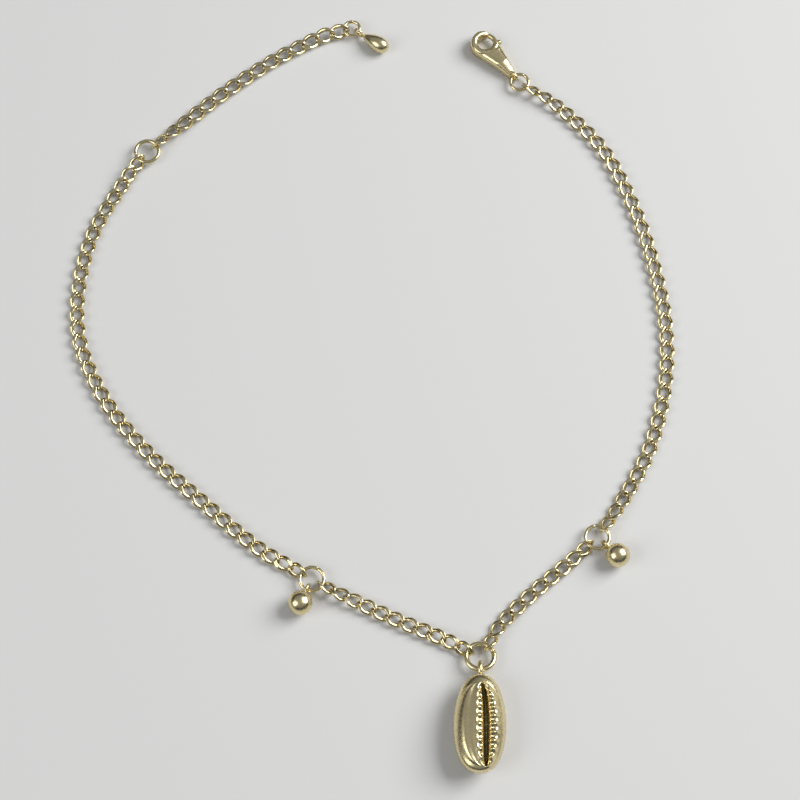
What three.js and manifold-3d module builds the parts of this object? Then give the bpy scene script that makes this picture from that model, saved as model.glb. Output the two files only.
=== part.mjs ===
// A chain anklet with a cowrie shell charm and two ball drops, laid open on a flat surface.
// Millimetres and degrees. X runs to the right, Y away from the viewer, Z up from the surface.
// Four lengths of curb chain meet at jump rings, with a lobster clasp at one end
// and an extender chain that ends in a teardrop at the other.
import * as THREE from "three";
import { ParametricGeometry } from "three/addons/geometries/ParametricGeometry.js";
import { mergeVertices } from "three/addons/utils/BufferGeometryUtils.js";
import Module from "manifold-3d";

const wasm = await Module();
wasm.setup();

// The room that the whole anklet takes as it lies.
const LOOP_WIDTH = 88.2;
const LOOP_LENGTH = 100.9;

// Curb chain: oval wire links, twisted so that the chain lies flat.
const CHAIN_WIRE = 0.46;
const CHAIN_WIDTH = 2.35;
const CHAIN_PITCH = 2.27;

// Extender chain: the same kind of link, a little larger and more open.
const EXTENDER_WIRE = 0.48;
const EXTENDER_WIDTH = 2.5;
const EXTENDER_PITCH = 2.45;

// Every link turns this much from one end to the other.
const LINK_TWIST = 90;
// A chain is one fused body: neighbouring links share this much metal where they touch.
const LINK_BITE = 0.05;
// Near a jump ring the chain rolls on its side by this much, over this length.
const END_ROLL = 45;
const END_LENGTH = 9;
// Free play between a ring and what hangs on it.
const HOOK_GAP = 0.1;

// Jump rings, outer diameter and wire.
const EXTENDER_RING_OUTER = 4.2;
const EXTENDER_RING_WIRE = 0.6;
const PENDANT_RING_OUTER = 4.7;
const PENDANT_RING_WIRE = 0.75;
const BALL_RING_OUTER = 4.0;
const BALL_RING_WIRE = 0.55;
const CLASP_RING_OUTER = 3.3;
const CLASP_RING_WIRE = 0.52;
const END_RING_OUTER = 3.0;
const END_RING_WIRE = 0.5;
// The pendant's ring climbs towards the charm by this angle, and its middle by this share of it.
const PENDANT_RING_TILT = 12;
const PENDANT_RING_LIFT = 0.2;

// Ball drops: a ball with a soldered eye.
const BALL_DIAMETER = 3.5;
const BALL_EYE_OUTER = 2.0;
const BALL_EYE_WIRE = 0.45;

// Teardrop at the end of the extender.
const DROP_LENGTH = 5.0;
const DROP_DIAMETER = 2.5;
const DROP_EYE_OUTER = 1.9;
const DROP_EYE_WIRE = 0.42;

// Cowrie shell charm, cast in one piece with its eye. Its mouth faces up.
const SHELL_LENGTH = 13.8;
const SHELL_WIDTH = 7.3;
const SHELL_BACK = 3.1;
const SHELL_FRONT = 1.9;
const SHELL_EYE_OUTER = 2.7;
const SHELL_EYE_WIRE = 0.7;
const SHELL_EYE_DROP = 1.3;
const MOUTH_LENGTH = 11.6;
const MOUTH_WIDTH = 1.8;
const MOUTH_DEPTH = 1.5;
const MOUTH_OFFSET = 0.9;
const TEETH = 10;
const TOOTH_LENGTH = 0.5;
// Towards the eye the mouth bends back by this much, within about this share of its length.
const MOUTH_BEND = 0.7;
const MOUTH_BEND_SHARE = 0.175;
// How blunt the shell's ends are, and how much its girth leans towards the far end.
const SHELL_BLUNTNESS = 0.8;
const SHELL_LEAN = 0.05;
// Along the shell: where it touches the surface, and the middle of the mouth.
const SHELL_REST = 0.52;
const MOUTH_MIDDLE = 0.53;

// Lobster clasp: a claw with an eyelet, a sprung lever and the pin that it turns on.
const CLASP_LENGTH = 10.3;
const CLASP_WIDTH = 4.6;
const CLASP_HOLE = 2.3;
const CLASP_THICKNESS = 2.2;
const CLASP_NECK = 1.9;
const EYELET_OUTER = 1.94;
const EYELET_WIRE = 0.46;
const LEVER_THICKNESS = 0.9;
const LEVER_GAP = 0.1;
const PIN_DIAMETER = 0.6;

// The clasp's outline, measured from the middle of its head as shares of the head's radius.
const SHOULDER = 0.7;
const PIN_PLACE = [-0.94, -0.3];
const LEVER_ROOT = [[-0.94, -0.08], [-0.94, -0.52], [-0.34, -0.85], [-0.23, -0.73], [-0.61, -0.38]];
const LEVER_BAND = { inner: 0.58, outer: 0.95, start: -0.5, top: -0.3 };
const LEVER_END = 0.22;
const LEVER_REACH = 1.37;
const KNOB = { place: [-0.45, -0.88], radius: 0.18 };
const GATE = { start: -0.6, top: -0.08 };
const SLOT = { room: 0.3, top: 0.25 };
// The trunk's end by the eyelet: where it begins and where it is as wide as the neck, as shares
// of the eyelet, and its width where it begins, as a share of the neck.
const TRUNK = { start: 0.55, full: 0.7, taper: 0.6 };

// Where the rings lie on the surface, as shares of the anklet's width and length.
const PLACES = {
  extender: [-0.4422, 0.4004],
  ballLeft: [-0.1429, -0.2735],
  pendant: [0.1281, -0.3855],
  ballRight: [0.3220, -0.2121],
  clasp: [0.2120, 0.5203],
  end: [-0.0862, 0.6145],
};

// The way that each length of chain takes between its two rings, in the same shares.
const ROUTES = {
  leftLong: [
    [-0.4796, 0.3508], [-0.5283, 0.2676], [-0.5488, 0.1724], [-0.5397, 0.0833],
    [-0.4898, -0.0079], [-0.4127, -0.0892], [-0.3197, -0.1625], [-0.2336, -0.2260],
  ],
  leftShort: [[-0.0907, -0.2973], [-0.0181, -0.3271], [0.0567, -0.3548]],
  rightShort: [[0.1655, -0.3360], [0.2200, -0.2894], [0.2744, -0.2498]],
  rightLong: [
    [0.3628, -0.1606], [0.4127, -0.0813], [0.4444, 0.0159], [0.4512, 0.1130],
    [0.4354, 0.2121], [0.4036, 0.3132], [0.3537, 0.4083], [0.2789, 0.4797],
  ],
  extender: [[-0.3855, 0.4460], [-0.3061, 0.5074], [-0.2222, 0.5619], [-0.1474, 0.5986]],
};

// Which way each loose piece points from its ring, as a heading in the plane of the surface.
const BALL_LEFT_HEADING = -113;
const BALL_RIGHT_HEADING = -46;
const SHELL_HEADING = -91.5;
const CLASP_HEADING = 129;
const DROP_HEADING = -34;

// How finely round things are cut.
const LINK_SIDES = 10;
const WIRE_SIDES = 5;
const RING_SIDES = 12;
const RING_WIRE_SIDES = 5;
const BALL_SIDES = 10;
const SHELL_SIDES = 14;
const SHELL_ROWS = 10;
const DROP_ROWS = 6;
const CLASP_SIDES = 18;

const rad = THREE.MathUtils.degToRad;
const UP = new THREE.Vector3(0, 0, 1);

// The tone of the plating on each kind of piece.
const CHAIN_GOLD = { color: 0xcabb80, roughness: 0.3 };
const RING_GOLD = { color: 0xcfbf84, roughness: 0.26 };
const CAST_GOLD = { color: 0xd3c48c, roughness: 0.24 };

// A closed geometry as a solid.
function solid(geometry) {
  const bare = new THREE.BufferGeometry();
  bare.setAttribute("position", geometry.getAttribute("position"));
  bare.setIndex(geometry.getIndex());
  const merged = mergeVertices(bare, 1e-4);
  return new wasm.Manifold(
    new wasm.Mesh({
      numProp: 3,
      vertProperties: new Float32Array(merged.attributes.position.array),
      triVerts: new Uint32Array(merged.index.array),
    }),
  );
}

function join(solids) {
  return solids.reduce((all, one) => all.add(one));
}

function mesh(name, body, plating) {
  const made = body.getMesh();
  const geometry = new THREE.BufferGeometry();
  geometry.setAttribute("position", new THREE.BufferAttribute(made.vertProperties, 3));
  geometry.setIndex(new THREE.BufferAttribute(made.triVerts, 1));
  geometry.computeVertexNormals();
  const material = new THREE.MeshStandardMaterial({ ...plating, metalness: 1 });
  const piece = new THREE.Mesh(geometry, material);
  piece.name = name;
  return piece;
}

// The corner radius of a regular polygon that has the area of a round wire.
function cornerRadius(wire, sides) {
  return (wire / 2) * Math.sqrt((2 * Math.PI) / (sides * Math.sin((2 * Math.PI) / sides)));
}

// A direction in the plane of the surface.
function heading(degrees) {
  return new THREE.Vector3(Math.cos(rad(degrees)), Math.sin(rad(degrees)), 0);
}

// A place on the surface, from its shares of the anklet's width and length.
function onSurface([x, y]) {
  return new THREE.Vector3(x * LOOP_WIDTH, y * LOOP_LENGTH, 0);
}

// A frame whose X axis is the given direction and whose Y axis is as level as it can be.
function levelFrame(direction, roll = 0) {
  const across = new THREE.Vector3().crossVectors(UP, direction).normalize();
  across.applyAxisAngle(direction, roll);
  const above = new THREE.Vector3().crossVectors(direction, across);
  return new THREE.Matrix4().makeBasis(direction, across, above);
}

// One curb link along X, centred on the origin. The middles of its sides touch the true oval.
// Its wire has an edge along the inside, where it rests on the next link, and each corner
// is mitred in the plane of the oval, which turns along the link.
function linkGeometry(halfLength, halfWidth, wire) {
  const step = Math.PI / LINK_SIDES;
  const oval = (angle) => new THREE.Vector2(
    (halfLength / Math.cos(step)) * Math.cos(angle), (halfWidth / Math.cos(step)) * Math.sin(angle),
  );
  const r = cornerRadius(wire, WIRE_SIDES);
  return new ParametricGeometry((u, v, target) => {
    const angle = 2 * Math.PI * v + step;
    const turn = (rad(LINK_TWIST) / 2) * Math.cos(angle);
    const corner = oval(angle);
    const before = corner.clone().sub(oval(angle - 2 * step)).normalize();
    const after = oval(angle + 2 * step).sub(corner).normalize();
    const along = before.add(after).normalize();
    const out = (-r * Math.cos(2 * Math.PI * u)) / along.dot(after);
    const lift = r * Math.sin(2 * Math.PI * u);
    const across = corner.y - along.x * out;
    target.set(
      corner.x + along.y * out,
      across * Math.cos(turn) - lift * Math.sin(turn),
      across * Math.sin(turn) + lift * Math.cos(turn),
    );
  }, WIRE_SIDES, LINK_SIDES);
}

// The height that a link's centre needs above the surface when it is rolled.
function linkHeight(size, roll) {
  let highest = 0;
  for (let k = 0; k <= 90; k += 1) {
    const angle = rad(k);
    const reach = ((size.width - size.wire) / 2) * Math.sin(angle);
    const turn = (rad(LINK_TWIST) / 2) * Math.cos(angle) + rad(Math.abs(roll));
    highest = Math.max(highest, reach * Math.sin(turn));
  }
  return highest + cornerRadius(size.wire, WIRE_SIDES);
}

// A jump ring: its centre, the two axes of its plane, and its sizes.
function ring(outer, wire, centre, xAxis, yAxis) {
  return { radius: (outer - wire) / 2, wire, centre, xAxis, yAxis };
}

function flatRing(place, outer, wire, height) {
  const centre = onSurface(place).setZ(height);
  return ring(outer, wire, centre, new THREE.Vector3(1, 0, 0), new THREE.Vector3(0, 1, 0));
}

function ringMesh(name, made) {
  const torus = new THREE.TorusGeometry(
    made.radius, cornerRadius(made.wire, RING_WIRE_SIDES), RING_WIRE_SIDES, RING_SIDES,
  );
  const axis = new THREE.Vector3().crossVectors(made.xAxis, made.yAxis);
  const frame = new THREE.Matrix4().makeBasis(made.xAxis, made.yAxis, axis);
  frame.setPosition(made.centre);
  return mesh(name, solid(torus).transform(frame.elements), RING_GOLD);
}

// The point inside a ring where the wire of what hangs on it lies, towards a place outside it.
function hookTowards(made, place, wire) {
  const away = place.clone().sub(made.centre);
  const angle = Math.atan2(away.dot(made.yAxis), away.dot(made.xAxis));
  const room = cornerRadius(made.wire, RING_WIRE_SIDES) + cornerRadius(wire, WIRE_SIDES);
  const reach = made.radius * Math.cos(Math.PI / RING_SIDES) - room - HOOK_GAP;
  return made.centre.clone()
    .addScaledVector(made.xAxis, reach * Math.cos(angle))
    .addScaledVector(made.yAxis, reach * Math.sin(angle));
}

// A chain from one ring to another: as many links as fit, each on the route's tangent.
// It lies flat between its ends, and rolls up to the height of the rings at them.
function chainMesh(name, size, from, to, route) {
  const places = route.map(onSurface);
  const start = hookTowards(from, places[0].clone().setZ(from.centre.z), size.wire);
  const end = hookTowards(to, places.at(-1).clone().setZ(to.centre.z), size.wire);
  const plan = new THREE.CatmullRomCurve3(
    [start.clone().setZ(0), ...places, end.clone().setZ(0)], false, "catmullrom", 0.5,
  );
  const length = plan.getLength();
  const overlap = 2 * cornerRadius(size.wire, WIRE_SIDES) - LINK_BITE;
  const count = Math.max(1, Math.round((length - overlap) / size.pitch));
  const pitch = (length - overlap) / count;
  const halfLength = (pitch + overlap) / 2;
  const link = solid(linkGeometry(halfLength, (size.width - size.wire) / 2, size.wire));
  const fade = (s) => 1 - THREE.MathUtils.smoothstep(s, 0, END_LENGTH);
  const roll = (s) => END_ROLL * (fade(length - s) - fade(s));
  const height = (s) =>
    linkHeight(size, roll(s)) +
    (start.z - linkHeight(size, END_ROLL)) * fade(s) +
    (end.z - linkHeight(size, END_ROLL)) * fade(length - s);
  const links = [];
  for (let k = 0; k < count; k += 1) {
    const s = halfLength + k * pitch;
    const slope = (height(s + pitch / 2) - height(s - pitch / 2)) / pitch;
    const direction = plan.getTangentAt(s / length).setZ(slope).normalize();
    const place = plan.getPointAt(s / length).setZ(height(s));
    const frame = levelFrame(direction, rad(roll(s))).setPosition(place);
    links.push(link.transform(frame.elements));
  }
  return mesh(name, join(links), CHAIN_GOLD);
}

// A piece that hangs by an eye: its tip is in the ring, and its far end rests on the surface.
function lyingFrame(tip, length, endHeight, towards) {
  const rise = (endHeight - tip.z) / length;
  const direction = heading(towards).multiplyScalar(Math.sqrt(1 - rise * rise)).setZ(rise);
  return levelFrame(direction).setPosition(tip);
}

// How far from the tip of an eye the piece that it is soldered to begins.
function eyeReach(outer, wire) {
  return outer - wire * 1.5;
}

// An eye whose tip is at the origin, standing in the XZ plane, with the piece further along X.
function eye(outer, wire, sides) {
  const radius = (outer - wire) / 2;
  const torus = new THREE.TorusGeometry(radius, cornerRadius(wire, WIRE_SIDES), WIRE_SIDES, sides);
  return solid(torus.rotateX(Math.PI / 2).rotateY(Math.PI / sides).translate(radius, 0, 0));
}

function ballMesh(name, made, towards) {
  const radius = BALL_DIAMETER / 2;
  const tip = hookTowards(made, made.centre.clone().add(heading(towards)), BALL_EYE_WIRE);
  const length = eyeReach(BALL_EYE_OUTER, BALL_EYE_WIRE) + radius;
  const ball = new THREE.SphereGeometry(radius, BALL_SIDES, BALL_SIDES / 2 + 1);
  ball.rotateZ(Math.PI / 2).translate(length, 0, 0);
  const body = eye(BALL_EYE_OUTER, BALL_EYE_WIRE, LINK_SIDES).add(solid(ball));
  return mesh(name, body.transform(lyingFrame(tip, length, radius, towards).elements), CAST_GOLD);
}

// A teardrop: its girth follows sin(a) sin(a / 2), which is widest two thirds of the way along.
function dropMesh(name, made, towards) {
  const tip = hookTowards(made, made.centre.clone().add(heading(towards)), DROP_EYE_WIRE);
  const neck = eyeReach(DROP_EYE_OUTER, DROP_EYE_WIRE);
  const widest = 4 / (3 * Math.sqrt(3));
  const profile = [new THREE.Vector2(0, 0)];
  for (let k = 1; k < DROP_ROWS; k += 1) {
    const angle = (Math.PI * k) / DROP_ROWS;
    const girth = (Math.sin(angle) * Math.sin(angle / 2)) / widest;
    const reach = (DROP_LENGTH * (1 - Math.cos(angle))) / 2;
    profile.push(new THREE.Vector2((DROP_DIAMETER / 2) * girth, reach));
  }
  profile.push(new THREE.Vector2(0, DROP_LENGTH));
  const body = new THREE.LatheGeometry(profile, BALL_SIDES);
  body.rotateZ(-Math.PI / 2).translate(neck, 0, 0);
  const joined = eye(DROP_EYE_OUTER, DROP_EYE_WIRE, LINK_SIDES).add(solid(body));
  const length = neck + (DROP_LENGTH * 2) / 3;
  const frame = lyingFrame(tip, length, DROP_DIAMETER / 2, towards);
  return mesh(name, joined.transform(frame.elements), CAST_GOLD);
}

// The cowrie: an egg-shaped body, deeper behind than in front.
function shellBody() {
  const girth = (along) => (
    Math.pow(Math.sin(along), SHELL_BLUNTNESS) * (1 - SHELL_LEAN * Math.cos(along))
  );
  let widest = 0;
  for (let k = 1; k < 180; k += 1) widest = Math.max(widest, girth(rad(k)));
  return new ParametricGeometry((u, v, target) => {
    const along = Math.PI * v;
    const round = 2 * Math.PI * u;
    const depth = Math.sin(round) > 0 ? SHELL_FRONT : SHELL_BACK;
    target.set(
      (SHELL_LENGTH * (1 - Math.cos(along))) / 2,
      ((SHELL_WIDTH / 2) * girth(along) * Math.cos(round)) / widest,
      depth * Math.sqrt(Math.sin(along)) * Math.sin(round),
    );
  }, SHELL_SIDES, SHELL_ROWS);
}

// The cowrie's mouth: a long bent slit whose two edges step in and out at every tooth.
function mouthCut() {
  const steps = 2 * TEETH;
  const edge = (k, side) => {
    const place = k / steps;
    const half = (MOUTH_WIDTH / 2) * Math.sqrt(Math.max(0, 1 - (2 * place - 1) ** 2));
    const tooth = k % 2 ? TOOTH_LENGTH * Math.sin(Math.PI * place) : 0;
    const bend = MOUTH_BEND * Math.exp(-place / MOUTH_BEND_SHARE);
    const across = side * Math.max(0, half - tooth) - bend;
    return new THREE.Vector2(MOUTH_LENGTH * (place - 0.5), across);
  };
  const lips = [edge(0, 1)];
  for (let k = 1; k < steps; k += 1) lips.push(edge(k, -1));
  lips.push(edge(steps, 1));
  for (let k = steps - 1; k > 0; k -= 1) lips.push(edge(k, 1));
  const options = { depth: SHELL_FRONT * 2, bevelEnabled: false };
  const cut = new THREE.ExtrudeGeometry(new THREE.Shape(lips), options);
  return cut.translate(SHELL_LENGTH * MOUTH_MIDDLE, MOUTH_OFFSET, SHELL_FRONT - MOUTH_DEPTH);
}

function shellMesh(name, made, towards) {
  const tip = hookTowards(made, made.centre.clone().add(heading(towards)), SHELL_EYE_WIRE);
  const neck = SHELL_EYE_OUTER - SHELL_EYE_WIRE;
  const cast = solid(shellBody()).subtract(solid(mouthCut())).translate([neck, 0, SHELL_EYE_DROP]);
  const joined = eye(SHELL_EYE_OUTER, SHELL_EYE_WIRE, RING_SIDES).add(cast);
  const length = neck + SHELL_LENGTH * SHELL_REST;
  const frame = lyingFrame(tip, length, SHELL_BACK - SHELL_EYE_DROP, towards);
  return mesh(name, joined.transform(frame.elements), CAST_GOLD);
}

// The rings lie at the height of the rolled end links that carry them.
const chainSize = { wire: CHAIN_WIRE, width: CHAIN_WIDTH, pitch: CHAIN_PITCH };
const extenderSize = { wire: EXTENDER_WIRE, width: EXTENDER_WIDTH, pitch: EXTENDER_PITCH };
const chainHeight = linkHeight(chainSize, END_ROLL);
const extenderHeight = linkHeight(extenderSize, END_ROLL);

const extenderRing = flatRing(
  PLACES.extender, EXTENDER_RING_OUTER, EXTENDER_RING_WIRE, Math.max(chainHeight, extenderHeight),
);
const ballRingLeft = flatRing(PLACES.ballLeft, BALL_RING_OUTER, BALL_RING_WIRE, chainHeight);
const ballRingRight = flatRing(PLACES.ballRight, BALL_RING_OUTER, BALL_RING_WIRE, chainHeight);
const claspRing = flatRing(PLACES.clasp, CLASP_RING_OUTER, CLASP_RING_WIRE, chainHeight);
const endRing = flatRing(PLACES.end, END_RING_OUTER, END_RING_WIRE, extenderHeight);

const lean = rad(PENDANT_RING_TILT);
const pendantLift = PENDANT_RING_OUTER * PENDANT_RING_LIFT * Math.sin(lean);
const pendantRing = ring(
  PENDANT_RING_OUTER, PENDANT_RING_WIRE, onSurface(PLACES.pendant).setZ(chainHeight + pendantLift),
  new THREE.Vector3(1, 0, 0), new THREE.Vector3(0, Math.cos(lean), -Math.sin(lean)),
);

// The clasp lies flat. X runs from the tip of its eyelet to its head, and its gate is at -Y.
const headRadius = CLASP_WIDTH / 2;
const headX = CLASP_LENGTH - EYELET_WIRE / 2 - headRadius;
const claspTip = hookTowards(
  claspRing, claspRing.centre.clone().add(heading(CLASP_HEADING)), EYELET_WIRE,
);
const claspFrame = levelFrame(heading(CLASP_HEADING)).setPosition(claspTip.x, claspTip.y, 0);
const leverFrom = (CLASP_THICKNESS - LEVER_THICKNESS) / 2;

// A place in the clasp's plane, from its shares of the head's radius.
function onHead([x, y]) {
  return new THREE.Vector2(headX + x * headRadius, y * headRadius);
}

const pinPlace = onHead(PIN_PLACE);

function plate(corners, from, thickness) {
  const options = { depth: thickness, bevelEnabled: false };
  return solid(
    new THREE.ExtrudeGeometry(new THREE.Shape(corners), options).translate(0, 0, from),
  );
}

function disc(place, radius, from, thickness, sides = CLASP_SIDES) {
  const round = new THREE.CylinderGeometry(radius, radius, thickness, sides);
  return solid(round.rotateX(Math.PI / 2).translate(place.x, place.y, from + thickness / 2));
}

// A block between two corners in the clasp's plane.
function block(low, high, from, thickness) {
  const made = new THREE.BoxGeometry(high.x - low.x, high.y - low.y, thickness);
  const middle = low.clone().add(high).divideScalar(2);
  return solid(made.translate(middle.x, middle.y, from + thickness / 2));
}

function clawMesh(name) {
  const head = onHead([0, 0]);
  const neck = CLASP_NECK / 2;
  const through = [-CLASP_THICKNESS, CLASP_THICKNESS * 3];
  const trunk = plate([
    new THREE.Vector2(EYELET_OUTER * TRUNK.start, neck * TRUNK.taper),
    new THREE.Vector2(EYELET_OUTER * TRUNK.start, -neck * TRUNK.taper),
    new THREE.Vector2(EYELET_OUTER * TRUNK.full, -neck),
    onHead([-SHOULDER, -SHOULDER]),
    head,
    onHead([-SHOULDER, SHOULDER]),
    new THREE.Vector2(EYELET_OUTER * TRUNK.full, neck),
  ], 0, CLASP_THICKNESS);
  const gate = disc(pinPlace, LEVER_REACH * headRadius + LEVER_GAP, ...through)
    .intersect(block(onHead([GATE.start, -2]), onHead([2, GATE.top]), ...through));
  const slot = block(
    onHead([PIN_PLACE[0] - SLOT.room, -2]), onHead([0, SLOT.top]),
    leverFrom - LEVER_GAP, LEVER_THICKNESS + 2 * LEVER_GAP,
  );
  const claw = disc(head, headRadius, 0, CLASP_THICKNESS)
    .add(trunk)
    .subtract(disc(head, CLASP_HOLE / 2, ...through))
    .subtract(gate)
    .subtract(slot)
    .subtract(disc(pinPlace, PIN_DIAMETER / 2, ...through, RING_SIDES));
  const eyelet = eye(EYELET_OUTER, EYELET_WIRE, RING_SIDES).translate([0, 0, claspTip.z]);
  return mesh(name, claw.add(eyelet).transform(claspFrame.elements), CAST_GOLD);
}

function leverMesh(name) {
  const head = onHead([0, 0]);
  const deep = [leverFrom, LEVER_THICKNESS];
  const through = [-CLASP_THICKNESS, CLASP_THICKNESS * 3];
  const lever = disc(head, LEVER_BAND.outer * headRadius, ...deep)
    .subtract(disc(head, LEVER_BAND.inner * headRadius, ...through))
    .intersect(disc(pinPlace, LEVER_REACH * headRadius, ...through))
    .intersect(block(onHead([LEVER_BAND.start, -2]), onHead([2, LEVER_BAND.top]), ...through))
    .add(plate(LEVER_ROOT.map(onHead), ...deep))
    .add(disc(pinPlace, LEVER_END * headRadius, ...deep, RING_SIDES))
    .add(disc(onHead(KNOB.place), KNOB.radius * headRadius, ...deep, RING_SIDES))
    .subtract(disc(pinPlace, (PIN_DIAMETER + LEVER_GAP) / 2, ...through, RING_SIDES));
  return mesh(name, lever.transform(claspFrame.elements), RING_GOLD);
}

function pinMesh(name) {
  const pin = disc(pinPlace, PIN_DIAMETER / 2, 0, CLASP_THICKNESS, RING_SIDES);
  return mesh(name, pin.transform(claspFrame.elements), RING_GOLD);
}

const group = new THREE.Group();
group.add(
  chainMesh("chain_left_long", chainSize, extenderRing, ballRingLeft, ROUTES.leftLong),
  chainMesh("chain_left_short", chainSize, ballRingLeft, pendantRing, ROUTES.leftShort),
  chainMesh("chain_right_short", chainSize, pendantRing, ballRingRight, ROUTES.rightShort),
  chainMesh("chain_right_long", chainSize, ballRingRight, claspRing, ROUTES.rightLong),
  chainMesh("extender_chain", extenderSize, extenderRing, endRing, ROUTES.extender),
  ringMesh("extender_ring", extenderRing),
  ringMesh("ball_ring_left", ballRingLeft),
  ringMesh("ball_ring_right", ballRingRight),
  ringMesh("pendant_ring", pendantRing),
  ringMesh("clasp_ring", claspRing),
  ringMesh("end_ring", endRing),
  ballMesh("ball_left", ballRingLeft, BALL_LEFT_HEADING),
  ballMesh("ball_right", ballRingRight, BALL_RIGHT_HEADING),
  dropMesh("end_drop", endRing, DROP_HEADING),
  shellMesh("cowrie_shell", pendantRing, SHELL_HEADING),
  clawMesh("clasp_body"),
  leverMesh("clasp_lever"),
  pinMesh("clasp_pin"),
);

// The origin is the middle of the footprint, on the surface.
const bounds = new THREE.Box3().setFromObject(group);
const middle = bounds.getCenter(new THREE.Vector3());
group.position.set(-middle.x, -middle.y, -bounds.min.z);

export default group;
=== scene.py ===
# %% [markdown]
# # A curb chain anklet with a cowrie charm
#
# The real piece is four lengths of curb chain joined by jump rings, with a cowrie charm, a ball
# drop on each side of it, a lobster clasp at one end and an extender with a teardrop at the other.
# It could be modelled by hand, with curves and sculpting. Here every piece is a formula, worked
# out with numpy in millimetres: it makes hundreds of equal links at once, keeps each piece round
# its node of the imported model, and changes with one number. All pieces are wires (a small section
# carried along a curve) or turned and swollen bodies (a radius that changes along an axis), which
# is how such a piece is made in metal.

import bmesh
import bpy
import numpy as np
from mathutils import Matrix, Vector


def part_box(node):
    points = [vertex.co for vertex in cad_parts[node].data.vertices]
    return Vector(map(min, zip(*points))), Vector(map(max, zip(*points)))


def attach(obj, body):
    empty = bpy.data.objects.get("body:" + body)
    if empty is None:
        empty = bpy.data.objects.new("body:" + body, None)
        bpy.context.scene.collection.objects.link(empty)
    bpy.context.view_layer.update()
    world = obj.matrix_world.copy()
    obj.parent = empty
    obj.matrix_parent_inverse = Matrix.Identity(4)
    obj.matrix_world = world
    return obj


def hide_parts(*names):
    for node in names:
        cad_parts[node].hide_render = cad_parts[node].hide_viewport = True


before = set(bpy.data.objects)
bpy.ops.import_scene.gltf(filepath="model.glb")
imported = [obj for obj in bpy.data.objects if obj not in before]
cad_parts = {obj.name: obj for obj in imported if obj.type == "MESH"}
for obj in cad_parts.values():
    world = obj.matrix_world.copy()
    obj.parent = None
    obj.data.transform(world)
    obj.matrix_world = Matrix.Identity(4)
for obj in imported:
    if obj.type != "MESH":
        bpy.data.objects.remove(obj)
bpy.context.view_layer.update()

MM = 0.001
UP = np.array([0.0, 0.0, 1.0])

# %% [markdown]
# ## Where everything lies
# The anklet lies open, in the loop that the chain fell into. Every place could be typed in
# millimetres. Here it is a share of the loop's width and length instead, and the plan is then
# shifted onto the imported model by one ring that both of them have.

# %% The loop and its shift
LOOP = np.array([88.2, 100.9])
CLASP_PLACE = LOOP * [0.2120, 0.5203]


def box_centre(node):
    """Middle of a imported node's box, in millimetres: the centre of a ring."""
    low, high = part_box(node)
    return (np.array(low) + np.array(high)) / 2 / MM


shift = box_centre("clasp_ring")[:2] - CLASP_PLACE
print("plan shifted by", shift.round(3), "mm")

# %% [markdown]
# ## Metal
# The anklet is taken to be brass with a thin layer of pale gold. A picture of gold could be laid on
# it, but it would stretch over the small curved pieces. A shader follows any shape, so the gold is
# a plain metal with three small changes: a slow drift of tone where the plate is worn, polishing
# marks that widen the highlights, and painted shade, a darker tone in the hollows where shade
# falls. It follows an attribute called hollow, from 0 on an edge to 1 in a crevice, which each
# piece fills in from its formula.

# %% Shader helpers
MIX_SHARE, MIX_FIRST, MIX_SECOND, MIX_RESULT = 0, 6, 7, 2


def shader_node(tree, kind, **inputs):
    """Adds a shader node and sets its inputs by name."""
    made = tree.nodes.new(kind)
    for name, value in inputs.items():
        made.inputs[name].default_value = value
    return made


def colour_mix(tree, share, second):
    """Adds a mix of two colours, of which the socket share says how much of the second shows."""
    made = tree.nodes.new("ShaderNodeMix")
    made.data_type = "RGBA"
    made.inputs[MIX_SECOND].default_value = (*second, 1)
    tree.links.new(share, made.inputs[MIX_SHARE])
    return made


print("a mix takes its colours at sockets", MIX_FIRST, "and", MIX_SECOND)

# %% Gold
DRIFT_SCALE = 260.0
MARK_SCALE = 2600.0
MARK_DEPTH = 0.00004
WORN = (0.86, 0.82, 0.72)
# Painted shade: the tone laid into the hollows, where shade falls
HOLLOW_SHADE_TONE = (0.22, 0.18, 0.10)
SMOOTHEST, ROUGHEST = 0.75, 1.35


def gold(name, tone, roughness, marks):
    """Polished plate: a metal of one tone, with drifting tone, fine marks and painted shade."""
    material = bpy.data.materials.new(name)
    material.use_nodes = True
    tree = material.node_tree
    shader = tree.nodes["Principled BSDF"]
    shader.inputs["Metallic"].default_value = 1.0
    place = tree.nodes.new("ShaderNodeTexCoord")
    drift = shader_node(tree, "ShaderNodeTexNoise", Scale=DRIFT_SCALE, Detail=2.0)
    fine = shader_node(tree, "ShaderNodeTexNoise", Scale=MARK_SCALE, Detail=3.0)
    for noise in (drift, fine):
        tree.links.new(place.outputs["Object"], noise.inputs["Vector"])
    # Painted shade: the hollow attribute darkens the tone where shade falls in the hollows
    hollow = tree.nodes.new("ShaderNodeAttribute")
    hollow.attribute_name = "hollow"
    tint = colour_mix(tree, drift.outputs["Fac"], [t * w for t, w in zip(tone, WORN)])
    tint.inputs[MIX_FIRST].default_value = (*tone, 1)
    shaded = colour_mix(tree, hollow.outputs["Fac"], HOLLOW_SHADE_TONE)
    tree.links.new(tint.outputs[MIX_RESULT], shaded.inputs[MIX_FIRST])
    tree.links.new(shaded.outputs[MIX_RESULT], shader.inputs["Base Color"])
    rough = tree.nodes.new("ShaderNodeMapRange")
    rough.inputs["To Min"].default_value = roughness * SMOOTHEST
    rough.inputs["To Max"].default_value = roughness * ROUGHEST
    tree.links.new(fine.outputs["Fac"], rough.inputs["Value"])
    tree.links.new(rough.outputs["Result"], shader.inputs["Roughness"])
    bump = shader_node(tree, "ShaderNodeBump", Strength=marks, Distance=MARK_DEPTH)
    tree.links.new(fine.outputs["Fac"], bump.inputs["Height"])
    tree.links.new(bump.outputs["Normal"], shader.inputs["Normal"])
    return material


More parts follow.
